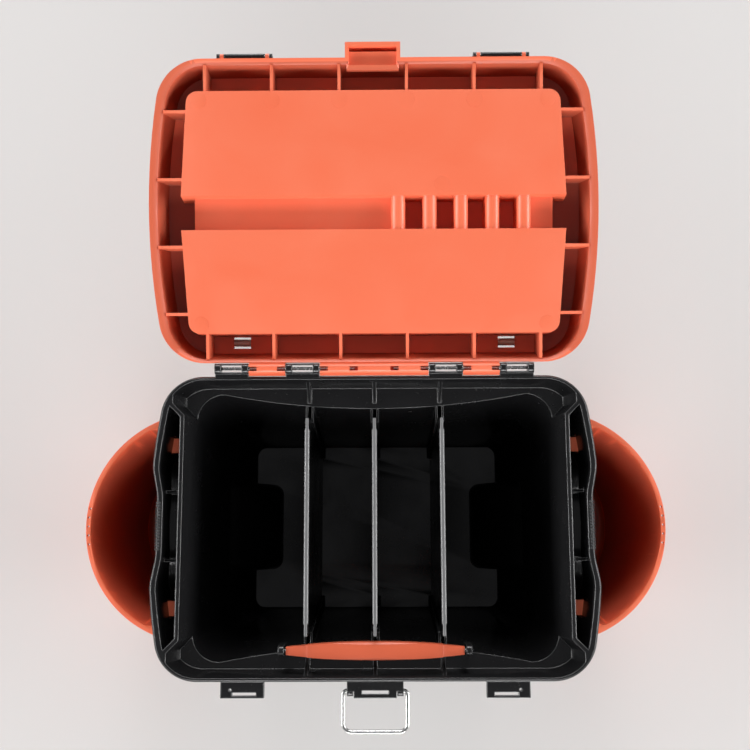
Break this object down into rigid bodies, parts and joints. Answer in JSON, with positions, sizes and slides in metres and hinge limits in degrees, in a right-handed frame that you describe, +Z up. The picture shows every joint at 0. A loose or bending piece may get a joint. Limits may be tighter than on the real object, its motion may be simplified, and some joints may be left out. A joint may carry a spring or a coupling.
{
  "type": "ice fishing box",
  "caption": "Tackle box for ice fishing: tapered tub with a hinged ribbed lid, lift-out dividers, hang-on side pockets, wire bail and hasps.",
  "frame": {"origin": "centre of the box's foot, on the ground", "axes": "+X to the right seen from the latch side, +Y to the rear where the hinge is, +Z up; the latch side faces -Y"},
  "size_m": [0.51, 0.5831, 0.2669],
  "materials": {
    "black_plastic": "satin",
    "orange_plastic": "satin",
    "bright_steel": "polished",
    "clear_plastic": "gloss",
    "milky_plastic": "satin"
  },
  "bodies": {
    "tub": {"body_shell": "black_plastic", "hinge_pin_left": "bright_steel", "hinge_pin_right": "bright_steel", "grip_rod": "bright_steel"},
    "lid": {"lid_shell": "orange_plastic", "hasp_pin_left": "bright_steel", "hasp_pin_right": "bright_steel"},
    "cover": {"tray_cover": "clear_plastic", "cover_clip_left": "milky_plastic", "cover_clip_right": "milky_plastic"},
    "left_hasp": {"hasp_left": "black_plastic"},
    "right_hasp": {"hasp_right": "black_plastic"},
    "bail": {"wire_bail": "bright_steel"},
    "front_grip": {"grip": "orange_plastic"},
    "left_divider": {"divider_left": "black_plastic"},
    "centre_divider": {"divider_centre": "black_plastic"},
    "right_divider": {"divider_right": "black_plastic"},
    "left_pocket": {"pocket_left": "orange_plastic"},
    "right_pocket": {"pocket_right": "orange_plastic"}
  },
  "joints": [
    {"name": "lid_hinge", "type": "hinge", "parent": "tub", "child": "lid", "pos_m": [0, 0.1345, 0.212], "axis": [-1, 0, 0], "range_deg": [-168.6, 0]},
    {"name": "left_hasp_hinge", "type": "hinge", "parent": "lid", "child": "left_hasp", "pos_m": [-0.1102, 0.39875, 0.25988], "axis": [-1, 0, 0], "range_deg": [-191, 0]},
    {"name": "right_hasp_hinge", "type": "hinge", "parent": "lid", "child": "right_hasp", "pos_m": [0.1102, 0.39875, 0.25988], "axis": [-1, 0, 0], "range_deg": [-191, 0]},
    {"name": "cover_lift", "type": "slide", "parent": "lid", "child": "cover", "axis": [0, 0.1977, -0.9803], "range_m": [0, 0.04]},
    {"name": "bail_pivot", "type": "hinge", "parent": "tub", "child": "bail", "pos_m": [0, -0.136, 0.2035], "axis": [1, 0, 0], "range_deg": [-95, 80]},
    {"name": "grip_spin", "type": "hinge", "parent": "tub", "child": "front_grip", "pos_m": [0, -0.104, 0.2], "axis": [1, 0, 0], "continuous": true},
    {"name": "left_divider_lift", "type": "slide", "parent": "tub", "child": "left_divider", "axis": [0, 0, 1], "range_m": [0, 0.205]},
    {"name": "centre_divider_lift", "type": "slide", "parent": "tub", "child": "centre_divider", "axis": [0, 0, 1], "range_m": [0, 0.205]},
    {"name": "right_divider_lift", "type": "slide", "parent": "tub", "child": "right_divider", "axis": [0, 0, 1], "range_m": [0, 0.205]},
    {"name": "left_pocket_lift", "type": "slide", "parent": "tub", "child": "left_pocket", "axis": [0, 0, 1], "range_m": [0, 0.007]},
    {"name": "right_pocket_lift", "type": "slide", "parent": "tub", "child": "right_pocket", "axis": [0, 0, 1], "range_m": [0, 0.007]}
  ]
}
